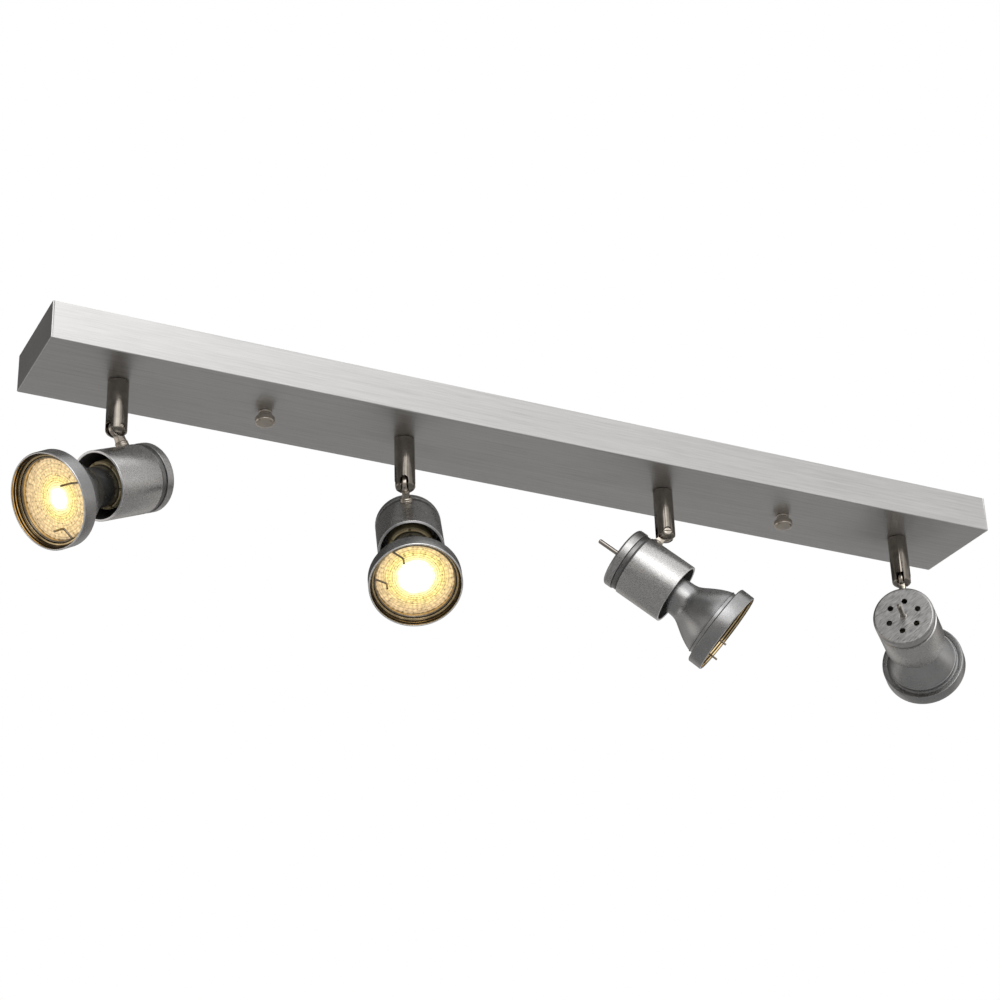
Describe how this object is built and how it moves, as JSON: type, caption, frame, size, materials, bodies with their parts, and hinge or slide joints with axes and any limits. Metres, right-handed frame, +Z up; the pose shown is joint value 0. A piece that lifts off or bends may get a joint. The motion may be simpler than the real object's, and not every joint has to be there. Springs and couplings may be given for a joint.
{
  "type": "ceiling spot bar",
  "caption": "Long brushed canopy for a ceiling, with swivelling stems that carry tilting cylindrical spot heads for twist-lock reflector lamps.",
  "frame": {"origin": "centre of the ceiling plane, on the top face of the mounting bracket", "axes": "+X along the bar, +Y towards the back, +Z up into the ceiling"},
  "size_m": [0.6937, 0.1177, 0.1521],
  "materials": {
    "canopy_aluminium": "brushed lengthwise, clear lacquer",
    "bracket_steel": "zinc plated",
    "fastener_steel": "zinc plated",
    "polished_nickel": "polished nickel plate",
    "terminal_plastic": "moulded",
    "brass": "plain",
    "lead_insulation": "sleeved lead",
    "housing_silver": "satin, finely speckled",
    "cap_aluminium": "turned and brushed",
    "ceramic": "unglazed ceramic",
    "shade_silver": "matte silver",
    "lamp_glass": "dimpled lens over a faceted reflector",
    "spring_steel": "bright drawn wire"
  },
  "bodies": {
    "bar": {"canopy": "canopy_aluminium", "mounting_bracket": "bracket_steel", "bracket_studs": "fastener_steel", "thumb_nuts": "polished_nickel", "terminal_block": "terminal_plastic", "earth_screw": "brass", "wiring": "lead_insulation", "stem_washers": "fastener_steel"},
    "stem_1": {"stem_1": "polished_nickel", "stem_nut_1": "fastener_steel", "pivot_screw_1": "polished_nickel"},
    "head_1": {"knuckle_1": "polished_nickel", "knuckle_nut_1": "fastener_steel", "housing_1": "housing_silver", "rear_cap_1": "cap_aluminium", "aiming_pin_1": "polished_nickel", "lamp_holder_1": "ceramic", "shade_1": "shade_silver", "bezel_1": "shade_silver", "lamp_1": "lamp_glass", "retaining_wire_1": "spring_steel"},
    "stem_2": {"stem_2": "polished_nickel", "stem_nut_2": "fastener_steel", "pivot_screw_2": "polished_nickel"},
    "head_2": {"knuckle_2": "polished_nickel", "knuckle_nut_2": "fastener_steel", "housing_2": "housing_silver", "rear_cap_2": "cap_aluminium", "aiming_pin_2": "polished_nickel", "lamp_holder_2": "ceramic", "shade_2": "shade_silver", "bezel_2": "shade_silver", "lamp_2": "lamp_glass", "retaining_wire_2": "spring_steel"},
    "stem_3": {"stem_3": "polished_nickel", "stem_nut_3": "fastener_steel", "pivot_screw_3": "polished_nickel"},
    "head_3": {"knuckle_3": "polished_nickel", "knuckle_nut_3": "fastener_steel", "housing_3": "housing_silver", "rear_cap_3": "cap_aluminium", "aiming_pin_3": "polished_nickel", "lamp_holder_3": "ceramic", "shade_3": "shade_silver", "bezel_3": "shade_silver", "lamp_3": "lamp_glass", "retaining_wire_3": "spring_steel"},
    "stem_4": {"stem_4": "polished_nickel", "stem_nut_4": "fastener_steel", "pivot_screw_4": "polished_nickel"},
    "head_4": {"knuckle_4": "polished_nickel", "knuckle_nut_4": "fastener_steel", "housing_4": "housing_silver", "rear_cap_4": "cap_aluminium", "aiming_pin_4": "polished_nickel", "lamp_holder_4": "ceramic", "shade_4": "shade_silver", "bezel_4": "shade_silver", "lamp_4": "lamp_glass", "retaining_wire_4": "spring_steel"}
  },
  "joints": [
    {"name": "swivel_1", "type": "hinge", "parent": "bar", "child": "stem_1", "pos_m": [-0.2805, 0, -0.025], "axis": [0, 0, 1], "range_deg": [-103.7, 246.3]},
    {"name": "tilt_1", "type": "hinge", "parent": "stem_1", "child": "head_1", "pos_m": [-0.2805, 0, -0.0567], "axis": [0.3206, -0.9472, 0], "range_deg": [-47.2, 57.8]},
    {"name": "swivel_2", "type": "hinge", "parent": "bar", "child": "stem_2", "pos_m": [-0.0935, 0, -0.025], "axis": [0, 0, 1], "range_deg": [-145.7, 204.3]},
    {"name": "tilt_2", "type": "hinge", "parent": "stem_2", "child": "head_2", "pos_m": [-0.0935, 0, -0.0567], "axis": [0.8721, -0.4894, 0], "range_deg": [-69.3, 35.7]},
    {"name": "swivel_3", "type": "hinge", "parent": "bar", "child": "stem_3", "pos_m": [0.0935, 0, -0.025], "axis": [0, 0, 1], "range_deg": [-250.8, 99.2]},
    {"name": "tilt_3", "type": "hinge", "parent": "stem_3", "child": "head_3", "pos_m": [0.0935, 0, -0.0567], "axis": [0.2453, 0.9694, 0], "range_deg": [-59.8, 45.2]},
    {"name": "swivel_4", "type": "hinge", "parent": "bar", "child": "stem_4", "pos_m": [0.2805, 0, -0.025], "axis": [0, 0, 1], "range_deg": [-310.2, 39.8]},
    {"name": "tilt_4", "type": "hinge", "parent": "stem_4", "child": "head_4", "pos_m": [0.2805, 0, -0.0567], "axis": [-0.7096, 0.7046, 0], "range_deg": [-20.7, 84.3]}
  ]
}
